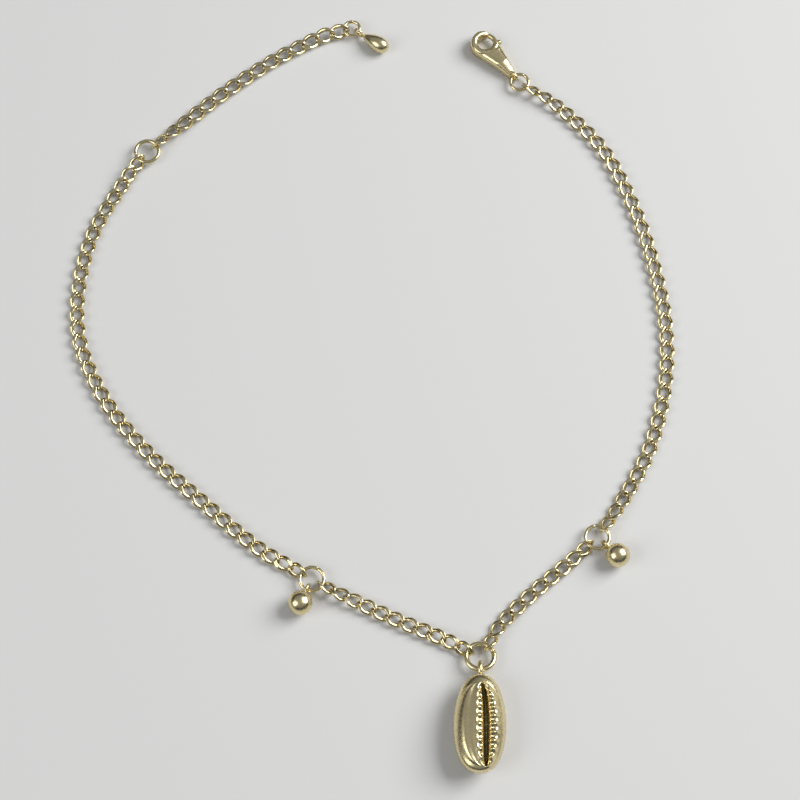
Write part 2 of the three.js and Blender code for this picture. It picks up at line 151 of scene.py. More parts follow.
chain_gold = gold("chain_gold", (0.79, 0.69, 0.42), 0.22, 0.25)
ring_gold = gold("ring_gold", (0.81, 0.71, 0.43), 0.22, 0.2)
cast_gold = gold("cast_gold", (0.83, 0.73, 0.45), 0.26, 0.35)
print("golds", [each.name for each in (chain_gold, ring_gold, cast_gold)])

# %% [markdown]
# ## From numbers to a mesh
# In metal a piece is drawn wire, a turning or a casting. In Blender each could be a curve with a
# bevel or a subdivided mesh. Here each is a grid of points, because a grid can be computed as one
# array. Its columns go round the section. Where its rows close on themselves too it is a ring, and
# elsewhere it is a rod, whose two ends are covered with one face each.


# %% Faces of a grid
def grid_faces(rows, columns, ring, start):
    """Quads of a grid of points, whose columns go round and whose rows close on a ring."""
    i = np.arange(rows if ring else rows - 1)
    j = np.arange(columns)
    i, j = (each.ravel() for each in np.meshgrid(i, j, indexing="ij"))
    k, m = (i + 1) % rows, (j + 1) % columns
    quads = np.stack([i * columns + j, i * columns + m, k * columns + m, k * columns + j], 1)
    return (quads + start).tolist()


print("a ring of 72 by 18 points has", len(grid_faces(72, 18, True, 0)), "faces")


# %% Surfaces
class Surface:
    """Collects grids of points, in millimetres, and makes one smooth mesh of them."""

    def __init__(self):
        self.points = []
        self.faces = []
        self.hollow = []
        self.count = 0

    def ring(self, points, hollow=None):
        """Adds a grid that closes on itself both ways, with how deep in a hollow its points are."""
        rows, columns = points.shape[:2]
        self.faces += grid_faces(rows, columns, True, self.count)
        self.keep(points, hollow)

    def rod(self, points, hollow=None):
        """Adds a grid that has two ends, and covers each end with one face."""
        rows, columns = points.shape[:2]
        first, last = self.count, self.count + (rows - 1) * columns
        self.faces += grid_faces(rows, columns, False, self.count)
        self.faces.append(list(range(first, first + columns))[::-1])
        self.faces.append(list(range(last, last + columns)))
        self.keep(points, hollow)

    def keep(self, points, hollow):
        """Keeps the points of a grid, and their hollow, which is none where nothing is given."""
        flat = points.reshape(-1, 3)
        self.points.append(flat)
        self.hollow.append(np.zeros(len(flat)) if hollow is None else np.ravel(hollow))
        self.count += len(flat)

    def piece(self, name, body, material, slot, *nodes):
        """Makes the finished piece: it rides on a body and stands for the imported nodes."""
        points = np.concatenate(self.points) * MM
        data = bpy.data.meshes.new(name)
        data.from_pydata(points.tolist(), [], self.faces)
        # The hollow attribute holds the painted shade that the gold lays into the hollows
        shade = data.attributes.new("hollow", "FLOAT", "POINT")
        shade.data.foreach_set("value", np.concatenate(self.hollow).astype(np.float32))
        skin = bmesh.new()
        skin.from_mesh(data)
        bmesh.ops.recalc_face_normals(skin, faces=skin.faces)
        skin.to_mesh(data)
        skin.free()
        data.polygons.foreach_set("use_smooth", np.ones(len(data.polygons), bool))
        data.materials.append(material)
        made = bpy.data.objects.new(name, data)
        bpy.context.scene.collection.objects.link(made)
        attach(made, body)
        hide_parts(*nodes)
        print(name, len(data.polygons), "faces")


print("an empty surface holds", Surface().count, "points")


# %% Wires
def unit(v):
    """v with length one, along the last axis."""
    return v / np.linalg.norm(v, axis=-1, keepdims=True)


def around(steps):
    """Angles once round, with the first not given again at the end."""
    return np.linspace(0, 2 * np.pi, steps, endpoint=False)


def tube(centres, outward, radius, sides, ring, squeeze=1.0):
    """A round wire: points at c + r (cos t n + q sin t b), where n leans outward and b = a x n.

    c runs along the centres and a is the direction there. A squeeze q below one flattens the wire.
    """
    if ring:
        along = unit(np.roll(centres, -1, 0) - np.roll(centres, 1, 0))
    else:
        along = unit(np.gradient(centres, axis=0))
    n = unit(outward - (outward * along).sum(-1, keepdims=True) * along)
    b = np.cross(along, n)
    t = around(sides)
    r = np.broadcast_to(np.asarray(radius, float), (len(centres),))[:, None, None]
    q = np.broadcast_to(np.asarray(squeeze, float), (len(centres),))[:, None, None]
    section = np.cos(t)[None, :, None] * n[:, None] + q * np.sin(t)[None, :, None] * b[:, None]
    return centres[:, None] + r * section


print("one of 4 steps round is", np.degrees(around(4)[1]), "degrees")


# %% Frames that carry a piece to its place
def level_frame(direction, origin, roll=0.0):
    """A 3x4 frame: X along direction, Y as level as can be and then rolled about X."""
    x = unit(np.asarray(direction, float))
    y = unit(np.cross(UP, x))
    z = np.cross(x, y)
    y, z = y * np.cos(roll) + z * np.sin(roll), z * np.cos(roll) - y * np.sin(roll)
    return np.column_stack([x, y, z, origin])


def carry(points, matrix):
    """Points of a piece's own frame, in the anklet's frame: turned, then moved."""
    return points @ matrix[:, :3].T + matrix[:, 3]


def heading(degrees):
    """A level direction, turned from +X towards +Y."""
    return np.array([np.cos(np.radians(degrees)), np.sin(np.radians(degrees)), 0.0])


print("the heading of 90 degrees is", heading(90).round(3))

# %% [markdown]
# ## Rings
# A jump ring is a circle of wire, cut once and closed again, so it shows a hairline where its ends
# meet. A torus would have no such cut. So the wire is carried round from one side of the hairline
# to the other, with its two ends a little worn. What hangs on a ring touches it from the inside,
# and its place is worked out from the ring, so that nothing floats and nothing sinks in.

# %% Sizes of the rings
RINGS = {
    "extender_ring": {"outer": 4.2, "wire": 0.6, "seam": 200, "lean": 0},
    "pendant_ring": {"outer": 4.7, "wire": 0.75, "seam": 20, "lean": 12},
    "ball_ring_left": {"outer": 4.0, "wire": 0.55, "seam": 60, "lean": 0},
    "ball_ring_right": {"outer": 4.0, "wire": 0.55, "seam": 100, "lean": 0},
    "clasp_ring": {"outer": 3.3, "wire": 0.52, "seam": 60, "lean": 0},
    "end_ring": {"outer": 3.0, "wire": 0.5, "seam": 80, "lean": 0},
}


def make_ring(name):
    """Centre, two directions in its plane and sizes of one ring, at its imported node."""
    size = RINGS[name]
    lean = np.radians(size["lean"])
    return {
        "centre": box_centre(name),
        "x": np.array([1.0, 0, 0]),
        "y": np.array([0.0, np.cos(lean), -np.sin(lean)]),
        "radius": (size["outer"] - size["wire"]) / 2,
        "wire": size["wire"],
    }


rings = {name: make_ring(name) for name in RINGS}
print("radius of each ring", {name: round(ring["radius"], 2) for name, ring in rings.items()})

# %% Where a thing hangs in a ring
HOOK_GAP = 0.1
PACKED_RING_SIDES = 12


def pentagon(wire):
    """Corner radius of a five-sided wire with the area of the round one."""
    return wire / 2 * np.sqrt(2 * np.pi / (5 * np.sin(2 * np.pi / 5)))


def hook(ring, towards, wire):
    """Where the wire of a hanging piece lies inside the ring, on the side facing a place.

    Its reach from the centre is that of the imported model, whose rings have straight sides and
    five-sided wire: the radius at the middle of a side, less both wires and the free play.
    """
    away = np.asarray(towards) - ring["centre"][: len(towards)]
    away = np.append(away, 0.0)[:3]
    turn = np.arctan2(away @ ring["y"], away @ ring["x"])
    side = ring["radius"] * np.cos(np.pi / PACKED_RING_SIDES)
    reach = side - pentagon(ring["wire"]) - pentagon(wire) - HOOK_GAP
    return ring["centre"] + reach * (np.cos(turn) * ring["x"] + np.sin(turn) * ring["y"])


print("corner radius of a 0.46 mm wire", round(pentagon(0.46), 3), "mm")

# %% The six jump rings
SEAM_GAP = 0.012
WORN_END = 0.92
RING_STEPS, RING_SIDES = 72, 18

for name, ring in rings.items():
    cut = np.radians(RINGS[name]["seam"])
    gap = SEAM_GAP / ring["radius"]
    turns = np.linspace(cut + gap, cut + 2 * np.pi - gap, RING_STEPS)
    spokes = np.cos(turns)[:, None] * ring["x"] + np.sin(turns)[:, None] * ring["y"]
    radius = np.full(RING_STEPS, ring["wire"] / 2)
    radius[[0, -1]] *= WORN_END
    centres = ring["centre"] + ring["radius"] * spokes
    surface = Surface()
    surface.rod(tube(centres, spokes, radius, RING_SIDES, False))
    surface.piece("wire_" + name, "anklet", ring_gold, "rings", name)

# %% [markdown]
# ## One curb link
# A curb link starts as an oval of wire, x = a cos t and y = b sin t. It is twisted about its length
# by a right angle from end to end, so that the chain lies flat and every link shows the same
# slanting stroke. A modeller could bend a torus with two modifiers. The formula bends it exactly,
# and can also do what the workshop does next: roll the wire wider at the sides of the link, and
# grind the two faces of the chain flat, which is what sparkles.

# %% One link
CHAIN = {"wire": 0.46, "width": 2.35, "pitch": 2.27}
EXTENDER = {"wire": 0.48, "width": 2.5, "pitch": 2.45}
LINK_TWIST = np.radians(90)
LINK_STEPS, LINK_SIDES = 40, 14
ROLLED = 0.4
GROUND = 0.22
# Painted shade on the inner half of the wire, more at the link's ends, where shade falls
SIDE_SHADE, END_SHADE = 0.5, 0.4


def link_points(half_length, half_width, wire):
    """Points of one twisted oval, and the painted shade of each in the hollow of the link.

    The wire is rolled wider along the sides of the link, by two fifths and inwards only, and its
    height shrinks in the same measure. Heights past a limit are cut off: the ground faces. The
    painted shade grows with the square of the cosine on the inner half of the wire, where shade
    falls inside the link, and more so at its two ends, where the next links hang.
    """
    t = around(LINK_STEPS)
    wide = 1 + ROLLED * np.sin(t) ** 2
    turn = LINK_TWIST / 2 * np.cos(t)
    out = unit(np.stack([half_width * np.cos(t), half_length * np.sin(t)], 1))
    inset = (wire / 2 * (wide - 1))[:, None] * out
    x = half_length * np.cos(t) - inset[:, 0]
    y = half_width * np.sin(t) - inset[:, 1]
    centres = np.stack([x, y * np.cos(turn), y * np.sin(turn)], 1)
    outward = np.stack([out[:, 0], out[:, 1] * np.cos(turn), out[:, 1] * np.sin(turn)], 1)
    points = tube(centres, outward, wire / 2 * wide, LINK_SIDES, True, 1 / wide)
    limit = np.abs(centres[:, 2]).max() + wire * GROUND
    over = np.abs(points[..., 2]) - limit
    points[..., 2] -= np.sign(points[..., 2]) * np.clip(over, 0, None)
    inner = np.clip(-np.cos(around(LINK_SIDES)), 0, 1)[None] ** 2
    return points, inner * (SIDE_SHADE + END_SHADE * np.cos(t)[:, None] ** 2)


print("one link has", LINK_STEPS * LINK_SIDES, "points")

# %% [markdown]
# ## The line that a chain lies on
# A fine chain falls on a table in one smooth curve from ring to ring. It could be dropped there by
# a simulation, but that would not fall as the chain in the photograph did. So each length has a few
# points to pass through, and a smooth curve joins them.

# %% The line of a chain
ROUTE_STEPS = 201
ROUTE_NUDGE = 1e-4


def spline(points, t):
    """A smooth curve through level points, for t from 0 to 1.

    Between two points it is a cubic. The slope at each point is half the way from the point before
    to the one after, and the two ends are carried straight on.
    """
    p = np.vstack([2 * points[0] - points[1], points, 2 * points[-1] - points[-2]])
    last = len(points) - 1
    x = np.clip(t, 0, 1) * last
    i = np.minimum(x.astype(int), last - 1)
    w = (x - i)[:, None]
    a, b, c, d = p[i], p[i + 1], p[i + 2], p[i + 3]
    slope_b, slope_c = (c - a) / 2, (d - b) / 2
    cubic = 2 * b - 2 * c + slope_b + slope_c
    square = -3 * b + 3 * c - 2 * slope_b - slope_c
    return ((cubic * w + square) * w + slope_b) * w + b


def walk(points):
    """Length of a route, and functions for the place and the direction at a distance along it."""
    steps = np.linspace(0, 1, ROUTE_STEPS)
    strides = np.linalg.norm(np.diff(spline(points, steps), axis=0), axis=1)
    marks = np.insert(np.cumsum(strides), 0, 0)

    def place(s):
        return spline(points, np.interp(np.atleast_1d(s), marks, steps))

    def direction(s):
        t = np.interp(np.atleast_1d(s), marks, steps)
        ahead = spline(points, np.minimum(t + ROUTE_NUDGE, 1))
        behind = spline(points, np.maximum(t - ROUTE_NUDGE, 0))
        return unit(ahead - behind)

    return marks[-1], place, direction


straight = np.array([(0.0, 0.0), (1.5, 2.0), (3.0, 4.0)])
print("a straight line to (3, 4) is", round(walk(straight)[0], 3), "long")

# %% [markdown]
# ## Links on the line
# Each length has as many whole links as fit, and its pitch is then evened out. The chain lies flat,
# but at each end it rolls on its side and rises, because a link can only hold a ring that lies flat
# when it stands up in it. An array modifier on a curve could repeat the link, but not roll its ends.

# %% How a chain rolls and rises
LINK_BITE = 0.05
END_ROLL = 45.0
END_LENGTH = 9.0


def link_height(width, wire, roll):
    """Height of a rolled link's centre above the surface that it rests on.

    It is the greatest height over the link, b sin t sin(twist at t + roll), and the wire's radius.
    """
    t = np.radians(np.arange(91))
    reach = (width - wire) / 2 * np.sin(t)
    rise = reach * np.sin(LINK_TWIST / 2 * np.cos(t) + np.radians(abs(roll)))
    return rise.max() + pentagon(wire)


def chain_frames(size, start, end, route):
    """The frame of every link between two rings, and the half length of a link."""
    inner = [LOOP * p + shift for p in route]
    first = hook(start, inner[0], size["wire"])
    last = hook(end, inner[-1], size["wire"])
    length, place, direction = walk(np.array([first[:2], *inner, last[:2]]))
    overlap = 2 * pentagon(size["wire"]) - LINK_BITE
    count = int(np.floor((length - overlap) / size["pitch"] + 0.5))
    pitch = (length - overlap) / count
    half = (pitch + overlap) / 2

    def fade(s):
        x = np.clip(s / END_LENGTH, 0, 1)
        return 1 - x * x * (3 - 2 * x)

    def rest(roll):
        return link_height(size["width"], size["wire"], roll)

    def roll(s):
        return END_ROLL * (fade(length - s) - fade(s))

    def height(s):
        at_start = (first[2] - rest(END_ROLL)) * fade(s)
        at_end = (last[2] - rest(END_ROLL)) * fade(length - s)
        return rest(roll(s)) + at_start + at_end

    frames = []
    for k in range(count):
        s = half + k * pitch
        slope = (height(s + pitch / 2) - height(s - pitch / 2)) / pitch
        along = np.append(direction(s)[0], slope)
        origin = np.append(place(s)[0], height(s))
        frames.append(level_frame(along, origin, np.radians(roll(s))))
    return frames, half


flat = link_height(CHAIN["width"], CHAIN["wire"], 0)
print("the centre of a flat link is", round(flat, 3), "mm up")

# %% The five lengths of chain
LENGTHS = {
    "links_left_long": {
        "node": "chain_left_long", "size": CHAIN, "from": "extender_ring", "to": "ball_ring_left",
        "route": [
            (-0.4796, 0.3508), (-0.5283, 0.2676), (-0.5488, 0.1724), (-0.5397, 0.0833),
            (-0.4898, -0.0079), (-0.4127, -0.0892), (-0.3197, -0.1625), (-0.2336, -0.2260),
        ],
    },
    "links_left_short": {
        "node": "chain_left_short", "size": CHAIN, "from": "ball_ring_left", "to": "pendant_ring",
        "route": [(-0.0907, -0.2973), (-0.0181, -0.3271), (0.0567, -0.3548)],
    },
    "links_right_short": {
        "node": "chain_right_short", "size": CHAIN, "from": "pendant_ring", "to": "ball_ring_right",
        "route": [(0.1655, -0.3360), (0.2200, -0.2894), (0.2744, -0.2498)],
    },
    "links_right_long": {
        "node": "chain_right_long", "size": CHAIN, "from": "ball_ring_right", "to": "clasp_ring",
        "route": [
            (0.3628, -0.1606), (0.4127, -0.0813), (0.4444, 0.0159), (0.4512, 0.1130),
            (0.4354, 0.2121), (0.4036, 0.3132), (0.3537, 0.4083), (0.2789, 0.4797),
        ],
    },
    "links_extender": {
        "node": "extender_chain", "size": EXTENDER, "from": "extender_ring", "to": "end_ring",
        "route": [(-0.3855, 0.4460), (-0.3061, 0.5074), (-0.2222, 0.5619), (-0.1474, 0.5986)],
    },
}

for name, run in LENGTHS.items():
    size = run["size"]
    frames, half = chain_frames(size, rings[run["from"]], rings[run["to"]], run["route"])
    # Every link carries the painted shade of its hollows
    points, hollow = link_points(half, (size["width"] - size["wire"]) / 2, size["wire"])
    surface = Surface()
    for matrix in frames:
        surface.ring(carry(points, matrix), hollow)
    surface.piece(name, "anklet", chain_gold, "chain", run["node"])

# %% [markdown]
# ## Things that hang by an eye
# An eye is a small standing ring, soldered or cast on the piece that hangs from it. Its tip lies in
# the jump ring, and the piece rests on the table further along. It could be placed by hand in the
# viewport. Here the slope follows from those two points: in a piece's own frame the tip of the eye
# is the origin and X leads away from it.

# %% Eyes and turned bodies
EYE_SUNK = 1.5
TURNED_SIDES = 48
POLE = 0.001


def lying_frame(tip, length, end_height, towards):
    """Frame of a piece whose tip is in a ring and whose far point is end_height up."""
    rise = (end_height - tip[2]) / length
    along = heading(towards) * np.sqrt(1 - rise * rise) + rise * UP
    return level_frame(along, tip)


def eye_points(outer, wire, steps=48, sides=16):
    """A standing ring of wire, from its tip at the origin along X."""
    t = around(steps)
    radius = (outer - wire) / 2
    spokes = np.stack([-np.cos(t), np.zeros_like(t), np.sin(t)], 1)
    return tube(radius * spokes + [radius, 0, 0], spokes, wire / 2, sides, True)


def pole_to_pole(steps, first=POLE, last=POLE):
    """Angles over half a turn, a hair short of both poles, where the end faces close the body."""
    return np.linspace(first, np.pi - last, steps)


def turned(profile, sides=TURNED_SIDES):
    """A turned body: each (x, r) of the profile carried round the X axis."""
    t = around(sides)
    x, r = np.asarray(profile).T
    x = np.repeat(x[:, None], sides, 1)
    return np.stack([x, r[:, None] * np.cos(t), r[:, None] * np.sin(t)], -1)


print("an eye of 2 mm has", eye_points(2.0, 0.45)[..., 0].size, "points")

# %% [markdown]
# ## Ball drops
# A ball drop is a small bead with an eye soldered on, and the solder leaves a thin collar where the
# two meet. A sphere and a torus would do from far off. The collar makes them one piece: a turned
# cone whose sides flare out into the ball, with painted shade that darkens it towards the crease
# where it runs into the ball.

# %% The two ball drops
BALL_EYE = {"outer": 2.0, "wire": 0.45}
BALL_RADIUS = 1.75
BALL_HEADINGS = {"left": -113, "right": -46}
# The last value is painted shade, deepest where the collar runs into the ball
COLLAR = {"before": 0.12, "length": 0.42, "thin": 0.2, "spread": 0.62, "flare": 2.2, "crease_shade": 0.5}

for side, towards in BALL_HEADINGS.items():
    ring = rings["ball_ring_" + side]
    tip = hook(ring, ring["centre"] + heading(towards), BALL_EYE["wire"])
    length = BALL_EYE["outer"] - BALL_EYE["wire"] * EYE_SUNK + BALL_RADIUS
    angle = pole_to_pole(40)
    ball = np.stack([length - BALL_RADIUS * np.cos(angle), BALL_RADIUS * np.sin(angle)], 1)
    flow = np.linspace(0, 1, 8)
    collar_x = length - BALL_RADIUS - COLLAR["before"] + COLLAR["length"] * flow
    collar = np.stack([collar_x, COLLAR["thin"] + COLLAR["spread"] * flow ** COLLAR["flare"]], 1)
    # Painted shade along the collar, growing towards the crease at the ball
    crease_shade = np.repeat(COLLAR["crease_shade"] * flow[:, None], TURNED_SIDES, 1)
    matrix = lying_frame(tip, length, BALL_RADIUS, towards)
    surface = Surface()
    surface.ring(carry(eye_points(**BALL_EYE), matrix))
    surface.rod(carry(turned(ball), matrix))
    surface.rod(carry(turned(collar), matrix), crease_shade)
    surface.piece("drop_ball_" + side, "anklet", cast_gold, "cast", "ball_" + side)

# %% [markdown]
# ## The teardrop
# The teardrop that weighs down the extender is thin at its eye and fullest at two thirds of its
# length. It could be a sphere pulled out at one end. One formula gives both its slim neck and its
# round end: x = L (1 - cos a) / 2 and r = R sin a sin(a/2), brought to full size by the greatest
# value that sin a sin(a/2) reaches.

# %% The teardrop
DROP_EYE = {"outer": 1.9, "wire": 0.42}
DROP_LENGTH, DROP_RADIUS = 5.0, 1.25
DROP_FULLEST = DROP_LENGTH * 2 / 3
DROP_PEAK = 0.77
DROP_NECK = 0.02
DROP_HEADING = -34

ring = rings["end_ring"]
tip = hook(ring, ring["centre"] + heading(DROP_HEADING), DROP_EYE["wire"])
neck = DROP_EYE["outer"] - DROP_EYE["wire"] * EYE_SUNK
angle = pole_to_pole(56, first=DROP_NECK)
swell = DROP_RADIUS * np.sin(angle) * np.sin(angle / 2) / DROP_PEAK
drop = np.stack([neck + DROP_LENGTH * (1 - np.cos(angle)) / 2, swell], 1)
matrix = lying_frame(tip, neck + DROP_FULLEST, DROP_RADIUS, DROP_HEADING)
surface = Surface()
surface.ring(carry(eye_points(**DROP_EYE), matrix))
surface.rod(carry(turned(drop), matrix))
surface.piece("drop_end", "anklet", cast_gold, "cast", "end_drop")

# %% [markdown]
# ## The cowrie
# The charm is cast in the form of a small sea shell: an egg with blunt ends, a deep back and a
# flatter face, with a narrow toothed mouth along the face. It could be sculpted, but the teeth have
# to be even and the slit straight and thin. So the egg is one formula, and the mouth is a height
# that is added to its face.

# %% The egg of the shell
SHELL = {"length": 13.8, "width": 7.3, "back": 3.1, "front": 1.9}
SHELL_BLUNTNESS = 0.8
SHELL_LEAN = 0.05
FACE_SPREAD = 0.28


def egg(along, turn):
    """Points of the plain shell, and where its face is.

    x = L (1 - cos a) / 2. y is half the width times the girth times cos t, and the girth is sin a
    to the power of the bluntness, a hair fuller at the far end. z is the height of the face or the
    back times the root of sin a times sin t. On the face t is drawn aside, which flattens it.
    """
    t = turn + FACE_SPREAD * np.sin(2 * turn) * (np.sin(turn) > 0)
    face = np.sin(t) > 0
    girth = np.sin(along) ** SHELL_BLUNTNESS * (1 - SHELL_LEAN * np.cos(along))
    y = SHELL["width"] / 2 * girth / girth.max() * np.cos(t)
    x = np.broadcast_to(SHELL["length"] * (1 - np.cos(along)) / 2, y.shape)
    z = np.where(face, SHELL["front"], SHELL["back"]) * np.sqrt(np.sin(along)) * np.sin(t)
    return x, y, z, face


print("the shell is", SHELL["back"] + SHELL["front"], "mm deep")

# %% [markdown]
# ## The mouth of the cowrie
# The mouth is a slit right of the middle, with a rolled lip on each side and teeth across both
# lips. With d as the distance from the line of the mouth in half widths of the mouth, it is
# h = lips(d) - slit(d) - grooves(u, d): smooth hills across the mouth, of which the grooves also
# come and go along it. A bump map would be quicker, but real relief holds up close to.

# %% Relief of the mouth
MOUTH = {"length": 11.6, "middle": 0.53, "half": 0.9, "edge": 0.15, "offset": 0.9}
MOUTH_BEND = {"depth": 0.7, "share": 0.35}
# Painted shade in the slit and the grooves, less a share that keeps the lips clear of it
MOUTH_SHADE = {"slit": 1.2, "groove": 0.6, "clear": 0.4}
RELIEF_EASE, SHADE_EASE = 3, 4
SLIT = {"depth": 1.5, "half": 0.33}
TEETH = {"count": 10, "depth": 0.42, "roundness": 0.7}
FACE_SUNK = 0.12
LIPS = [(0.46, 1.05, 0.6), (0.14, -1.1, 0.6), (0.22, -3.1, 0.7)]
GROOVES = [(1.0, 0.85, 0.5), (0.7, -0.8, 0.4)]


def hills(d, table):
    """Smooth hills across the mouth: each line of the table has a height, a middle and a spread."""
    return sum(height * np.exp(-(((d - middle) / spread) ** 2)) for height, middle, spread in table)


def mouth(x, y):
    """Height that the mouth adds to the face at (x, y), and the painted shade there.

    u runs from -1 to 1 along the mouth, whose line bends towards the middle at its near end. The
    slit is its depth over 1 + (d / its half width) cubed. Painted shade follows slit and grooves,
    where shade falls in the mouth. Near the two ends of the mouth both relief and shade ease out.
    """
    u = (x - MOUTH["middle"] * SHELL["length"]) / (MOUTH["length"] / 2)
    inside = np.clip(1 - u * u, 0, None)
    opening = np.clip(inside * RELIEF_EASE, 0, 1) ** 0.5
    half = MOUTH["edge"] + MOUTH["half"] * np.sqrt(inside)
    line = MOUTH["offset"] - MOUTH_BEND["depth"] * np.exp(-(u + 1) / MOUTH_BEND["share"])
    d = (y - line) / half
    slit = SLIT["depth"] * opening / (1 + np.abs(d / SLIT["half"]) ** 3)
    between = 0.5 - 0.5 * np.cos(np.pi * TEETH["count"] * (u + 1))
    groove = TEETH["depth"] * between ** TEETH["roundness"] * opening * hills(d, GROOVES)
    height = opening * hills(d, LIPS) - slit - groove - FACE_SUNK
    dark = MOUTH_SHADE["slit"] * slit / SLIT["depth"] - MOUTH_SHADE["clear"]
    dark = dark + MOUTH_SHADE["groove"] * groove / TEETH["depth"]
    return height, np.clip(dark, 0, 1) * np.clip(inside * SHADE_EASE, 0, 1)


print("the slit is", SLIT["depth"], "mm deep, with", TEETH["count"], "grooves on each lip")

# %% The cowrie and its eye
SHELL_EYE = {"outer": 2.7, "wire": 0.7}
SHELL_DROP = 1.3
SHELL_REST = 0.52
SHELL_HEADING = -91.5
SHELL_ROWS, SHELL_COLUMNS = 260, 320

x, y, z, face = egg(pole_to_pole(SHELL_ROWS)[:, None], around(SHELL_COLUMNS)[None])
# The mouth's relief, and painted shade where shade falls in its slit and grooves
height, dark = mouth(x, y)
points = np.stack([x, y, np.where(face, z + height, z)], -1)
ring = rings["pendant_ring"]
tip = hook(ring, ring["centre"] + heading(SHELL_HEADING), SHELL_EYE["wire"])
neck = SHELL_EYE["outer"] - SHELL_EYE["wire"]
resting = neck + SHELL["length"] * SHELL_REST
matrix = lying_frame(tip, resting, SHELL["back"] - SHELL_DROP, SHELL_HEADING)
surface = Surface()
# Only the face carries the painted shade of the mouth
surface.rod(carry(points + [neck, 0, SHELL_DROP], matrix), np.where(face, dark, 0))
surface.ring(carry(eye_points(**SHELL_EYE), matrix))
surface.piece("cowrie", "anklet", cast_gold, "cast", "cowrie_shell")

# %% [markdown]
# ## The claw of the clasp
# A lobster clasp is one casting: an eyelet, a trunk that grows out of it, and a round head that
# ends in a claw. It could be a flat outline given a thickness and a bevel, but that keeps the same
# thickness all over. Here the claw is a bar carried round the head, thin at its tip, and the trunk
# is a second bar that widens until it runs into the head.

# %% Sizes of the clasp
CLASP_LENGTH = 10.3
HEAD, HOLE, THICK = 2.3, 1.15, 2.2
EYELET = {"outer": 1.94, "wire": 0.46}
CLASP_HEADING = 129
HEAD_X = CLASP_LENGTH - EYELET["wire"] / 2 - HEAD

ring = rings["clasp_ring"]
claw_tip = hook(ring, ring["centre"] + heading(CLASP_HEADING), EYELET["wire"])
claw_frame = level_frame(heading(CLASP_HEADING), [*claw_tip[:2], 0.0])
print("the head's centre is", round(HEAD_X, 2), "mm from the tip of the eyelet")

# %% Bars with a rounded section
SQUARENESS = 3.0


def rounded(t):
    """Section of a bar, from -1 to 1 across and up: |across|^3 + |up|^3 = 1."""
    c, s = np.cos(t), np.sin(t)
    reach = (np.abs(c) ** SQUARENESS + np.abs(s) ** SQUARENESS) ** (-1 / SQUARENESS)
    return reach * c, reach * s


def bar(path, width, thick, sides=28):
    """A level bar at half the clasp's thickness: width across and thick high along the path."""
    along = unit(np.gradient(path, axis=0))
    sideways = np.stack([-along[:, 1], along[:, 0]], 1)
    across, up = rounded(around(sides))
    xy = path[:, None] + (width[:, None] / 2 * across)[..., None] * sideways[:, None]
    z = THICK / 2 + thick[:, None] / 2 * up
    return np.concatenate([xy, z[..., None]], -1)


def around_head(start, end, steps):
    """Places on the middle circle of the head, between two directions in degrees."""
    angle = np.radians(np.linspace(start, end, steps))
    middle = (HEAD + HOLE) / 2
    return np.stack([HEAD_X + middle * np.cos(angle), middle * np.sin(angle)], 1)


print("at the middle of its corner a bar reaches", round(float(rounded(np.pi / 4)[0]), 3))

# %% The trunk
TRUNK = {"start": 1.07, "end": 1.72, "half": 0.58, "thick": 1.5, "thickens": 2.2}
RING_SIDE = {"widens": 1.6, "curve": 1.14}
GATE_SIDE = {"widens": 1.12, "curve": 0.22}


def trunk_points(rows=44, sides=40):
    """The trunk: it widens from the eyelet until its sides meet the ring of the head.

    Its far end follows the middle of that ring, so nothing of it shows in the hole. The side of
    the gate, at negative y, stops short of the lever's way.
    """
    share = np.linspace(0, 1, rows)[:, None]
    across, up = rounded(around(sides)[None])
    ring_side = across >= 0
    half = TRUNK["half"] + np.where(ring_side, RING_SIDE["widens"], GATE_SIDE["widens"]) * share
    curve = np.where(ring_side, RING_SIDE["curve"], GATE_SIDE["curve"])
    end = HEAD_X - (TRUNK["end"] - curve * across**2)
    x = TRUNK["start"] + share * (end - TRUNK["start"])
    thick = TRUNK["thick"] + (THICK - TRUNK["thick"]) * np.clip(share * TRUNK["thickens"], 0, 1)
    return np.stack([x, across * half, thick / 2 * (1 + up)], -1)


print("the trunk spans", np.ptp(trunk_points()[..., 1]).round(2), "mm across at the head")

# %% The claw
CLAW_ARC = (-54.5, 222)
CLAW_STEPS = 90
CLAW_TIP = {"width": 0.62, "thick": 0.6, "share": 0.2}

tip_share = np.clip(np.linspace(0, 1, CLAW_STEPS) / CLAW_TIP["share"], 0, 1)
grow = np.sin(tip_share * np.pi / 2)
claw_width = (HEAD - HOLE) * (CLAW_TIP["width"] + (1 - CLAW_TIP["width"]) * grow)
claw_thick = THICK * (CLAW_TIP["thick"] + (1 - CLAW_TIP["thick"]) * grow)
surface = Surface()
surface.rod(carry(bar(around_head(*CLAW_ARC, CLAW_STEPS), claw_width, claw_thick), claw_frame))
surface.rod(carry(trunk_points(), claw_frame))
surface.ring(carry(eye_points(**EYELET) + [0, 0, claw_tip[2]], claw_frame))
surface.piece("claw", "anklet", cast_gold, "clasp", "clasp_body")

# %% [markdown]
# ## The lever and its pin
# The lever is a thinner bar that closes the gate, from the pin to just short of the claw's tip, and
# a knob on it takes the thumb. It swings into the head, so it rides on a body of its own. The pin
# goes through both cheeks of the claw and through the lever, and its ends are slightly rounded, as
# a rivet's are after hammering. All three could be primitives, but the formulas above already give
# bars and turned bodies, which fit the head without any fitting by hand.

# %% The lever
LEVER_ARC = (-56.5, -142)
LEVER_STEPS, LEVER_TAIL_STEPS = 40, 9
LEVER_WIDTH = (0.62, 0.86)
LEVER_THICK = 0.9
PIN = np.array([HEAD_X - 0.94 * HEAD, -0.3 * HEAD])
KNOB = np.array([HEAD_X - 0.45 * HEAD, -0.88 * HEAD, THICK / 2])
KNOB_RADIUS = 0.44
KNOB_POLE = 0.01

